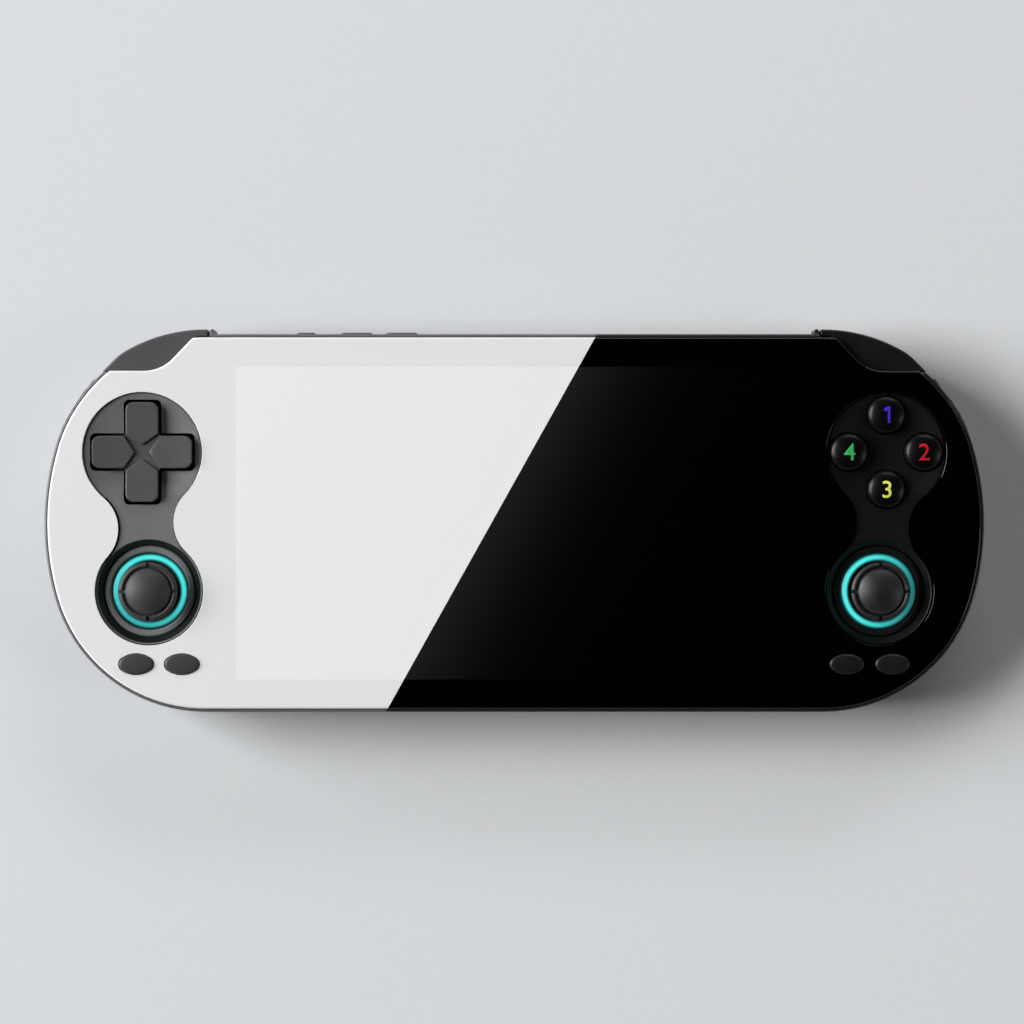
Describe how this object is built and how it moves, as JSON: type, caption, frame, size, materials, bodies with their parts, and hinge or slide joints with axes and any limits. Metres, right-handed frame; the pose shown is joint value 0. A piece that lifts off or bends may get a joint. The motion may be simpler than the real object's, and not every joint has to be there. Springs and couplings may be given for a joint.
{
  "type": "handheld game console",
  "caption": "Flat handheld game console with rounded ends: landscape display under a two-tone front panel, direction pad, face buttons, lit thumb sticks, shoulder buttons and triggers.",
  "frame": {"origin": "centre of the flat back face, on which the console lies", "axes": "+X along the width towards the face buttons, +Y towards the shoulder buttons, +Z out of the display"},
  "size_m": [0.204, 0.0831, 0.0214],
  "materials": {
    "housing_plastic": "satin",
    "front_panel": "gloss",
    "left_control_plastic": "satin",
    "right_control_plastic": "satin",
    "face_button_plastic": "gloss",
    "stick_rubber": "matt",
    "display_glass": "gloss",
    "light_guide": "translucent",
    "trim_metal": "satin",
    "steel": "satin",
    "circuit_board": "satin",
    "dome_rubber": "matt",
    "inner_plastic": "satin",
    "battery_wrap": "satin",
    "ribbon_film": "satin"
  },
  "bodies": {
    "console": {"rear_shell": "housing_plastic", "front_frame": "housing_plastic", "front_panel": "front_panel", "left_island": "left_control_plastic", "right_island": "right_control_plastic", "display_module": "display_glass", "display_ribbon": "ribbon_film", "main_board": "circuit_board", "processor_shield": "trim_metal", "battery": "battery_wrap", "left_button_board": "circuit_board", "right_button_board": "circuit_board", "dpad_membrane": "dome_rubber", "face_membrane": "dome_rubber", "left_key_membrane": "dome_rubber", "right_key_membrane": "dome_rubber", "left_light_ring": "light_guide", "right_light_ring": "light_guide", "left_trim_ring": "trim_metal", "right_trim_ring": "trim_metal", "left_stick_base": "inner_plastic", "right_stick_base": "inner_plastic", "left_shoulder_pin": "steel", "right_shoulder_pin": "steel", "left_shoulder_switches": "circuit_board", "right_shoulder_switches": "circuit_board", "edge_switches": "circuit_board", "left_speaker": "inner_plastic", "right_speaker": "inner_plastic", "charging_port": "steel", "headphone_jack": "inner_plastic", "card_slot": "steel", "case_screws": "steel", "board_screws": "steel"},
    "dpad_ball": {"dpad_ball": "steel"},
    "dpad": {"dpad_cross": "left_control_plastic"},
    "north_button": {"north_button": "face_button_plastic"},
    "east_button": {"east_button": "face_button_plastic"},
    "south_button": {"south_button": "face_button_plastic"},
    "west_button": {"west_button": "face_button_plastic"},
    "left_outer_key": {"left_outer_key": "left_control_plastic"},
    "left_inner_key": {"left_inner_key": "left_control_plastic"},
    "right_inner_key": {"right_inner_key": "right_control_plastic"},
    "right_outer_key": {"right_outer_key": "right_control_plastic"},
    "left_stick_yoke": {"left_stick_yoke": "steel"},
    "left_stick_rocker": {"left_stick_rocker": "inner_plastic"},
    "left_stick": {"left_stick_cap": "stick_rubber"},
    "right_stick_yoke": {"right_stick_yoke": "steel"},
    "right_stick_rocker": {"right_stick_rocker": "inner_plastic"},
    "right_stick": {"right_stick_cap": "stick_rubber"},
    "left_shoulder": {"left_shoulder": "left_control_plastic"},
    "left_trigger": {"left_trigger": "left_control_plastic"},
    "right_shoulder": {"right_shoulder": "right_control_plastic"},
    "right_trigger": {"right_trigger": "right_control_plastic"},
    "power_button": {"power_button": "left_control_plastic"},
    "volume_down_button": {"volume_down_button": "left_control_plastic"},
    "volume_up_button": {"volume_up_button": "left_control_plastic"}
  },
  "joints": [
    {"name": "dpad_up_down", "type": "hinge", "parent": "console", "child": "dpad_ball", "pos_m": [-0.0807, 0.0154, 0.011], "axis": [1, 0, 0], "range_deg": [-4, 4], "stiffness_Nm_per_rad": 0.14, "deforming": ["dpad_membrane"]},
    {"name": "dpad_left_right", "type": "hinge", "parent": "dpad_ball", "child": "dpad", "pos_m": [-0.0807, 0.0154, 0.011], "axis": [0, 1, 0], "range_deg": [-4, 4], "stiffness_Nm_per_rad": 0.14, "deforming": ["dpad_membrane"]},
    {"name": "north_press", "type": "slide", "parent": "console", "child": "north_button", "axis": [0, 0, -1], "range_m": [0, 0.0012], "stiffness_N_per_m": 500, "deforming": ["face_membrane"]},
    {"name": "east_press", "type": "slide", "parent": "console", "child": "east_button", "axis": [0, 0, -1], "range_m": [0, 0.0012], "stiffness_N_per_m": 500, "deforming": ["face_membrane"]},
    {"name": "south_press", "type": "slide", "parent": "console", "child": "south_button", "axis": [0, 0, -1], "range_m": [0, 0.0012], "stiffness_N_per_m": 500, "deforming": ["face_membrane"]},
    {"name": "west_press", "type": "slide", "parent": "console", "child": "west_button", "axis": [0, 0, -1], "range_m": [0, 0.0012], "stiffness_N_per_m": 500, "deforming": ["face_membrane"]},
    {"name": "left_outer_key_press", "type": "slide", "parent": "console", "child": "left_outer_key", "axis": [0, 0, -1], "range_m": [0, 0.0007], "stiffness_N_per_m": 1400, "deforming": ["left_key_membrane"]},
    {"name": "left_inner_key_press", "type": "slide", "parent": "console", "child": "left_inner_key", "axis": [0, 0, -1], "range_m": [0, 0.0007], "stiffness_N_per_m": 1400, "deforming": ["left_key_membrane"]},
    {"name": "right_inner_key_press", "type": "slide", "parent": "console", "child": "right_inner_key", "axis": [0, 0, -1], "range_m": [0, 0.0007], "stiffness_N_per_m": 1400, "deforming": ["right_key_membrane"]},
    {"name": "right_outer_key_press", "type": "slide", "parent": "console", "child": "right_outer_key", "axis": [0, 0, -1], "range_m": [0, 0.0007], "stiffness_N_per_m": 1400, "deforming": ["right_key_membrane"]},
    {"name": "left_stick_up_down", "type": "hinge", "parent": "console", "child": "left_stick_yoke", "pos_m": [-0.0792, -0.0148, 0.0094], "axis": [1, 0, 0], "range_deg": [-18, 18], "stiffness_Nm_per_rad": 0.06},
    {"name": "left_stick_left_right", "type": "hinge", "parent": "left_stick_yoke", "child": "left_stick_rocker", "pos_m": [-0.0792, -0.0148, 0.0094], "axis": [0, 1, 0], "range_deg": [-18, 18], "stiffness_Nm_per_rad": 0.06},
    {"name": "left_stick_click", "type": "slide", "parent": "left_stick_rocker", "child": "left_stick", "axis": [0, 0, -1], "range_m": [0, 0.0006], "stiffness_N_per_m": 5000},
    {"name": "right_stick_up_down", "type": "hinge", "parent": "console", "child": "right_stick_yoke", "pos_m": [0.0792, -0.0148, 0.0094], "axis": [1, 0, 0], "range_deg": [-18, 18], "stiffness_Nm_per_rad": 0.06},
    {"name": "right_stick_left_right", "type": "hinge", "parent": "right_stick_yoke", "child": "right_stick_rocker", "pos_m": [0.0792, -0.0148, 0.0094], "axis": [0, 1, 0], "range_deg": [-18, 18], "stiffness_Nm_per_rad": 0.06},
    {"name": "right_stick_click", "type": "slide", "parent": "right_stick_rocker", "child": "right_stick", "axis": [0, 0, -1], "range_m": [0, 0.0006], "stiffness_N_per_m": 5000},
    {"name": "left_shoulder_press", "type": "hinge", "parent": "console", "child": "left_shoulder", "pos_m": [-0.0697, 0.035, 0.008], "axis": [0, 0, 1], "range_deg": [0, 2.5], "stiffness_Nm_per_rad": 0.5},
    {"name": "left_trigger_press", "type": "hinge", "parent": "console", "child": "left_trigger", "pos_m": [-0.0697, 0.035, 0.008], "axis": [0, 0, 1], "range_deg": [0, 2.5], "stiffness_Nm_per_rad": 0.4},
    {"name": "right_shoulder_press", "type": "hinge", "parent": "console", "child": "right_shoulder", "pos_m": [0.0697, 0.035, 0.008], "axis": [0, 0, -1], "range_deg": [0, 2.5], "stiffness_Nm_per_rad": 0.5},
    {"name": "right_trigger_press", "type": "hinge", "parent": "console", "child": "right_trigger", "pos_m": [0.0697, 0.035, 0.008], "axis": [0, 0, -1], "range_deg": [0, 2.5], "stiffness_Nm_per_rad": 0.4},
    {"name": "power_button_press", "type": "slide", "parent": "console", "child": "power_button", "axis": [0, -1, 0], "range_m": [0, 0.0004], "stiffness_N_per_m": 5000},
    {"name": "volume_down_button_press", "type": "slide", "parent": "console", "child": "volume_down_button", "axis": [0, -1, 0], "range_m": [0, 0.0004], "stiffness_N_per_m": 5000},
    {"name": "volume_up_button_press", "type": "slide", "parent": "console", "child": "volume_up_button", "axis": [0, -1, 0], "range_m": [0, 0.0004], "stiffness_N_per_m": 5000}
  ]
}
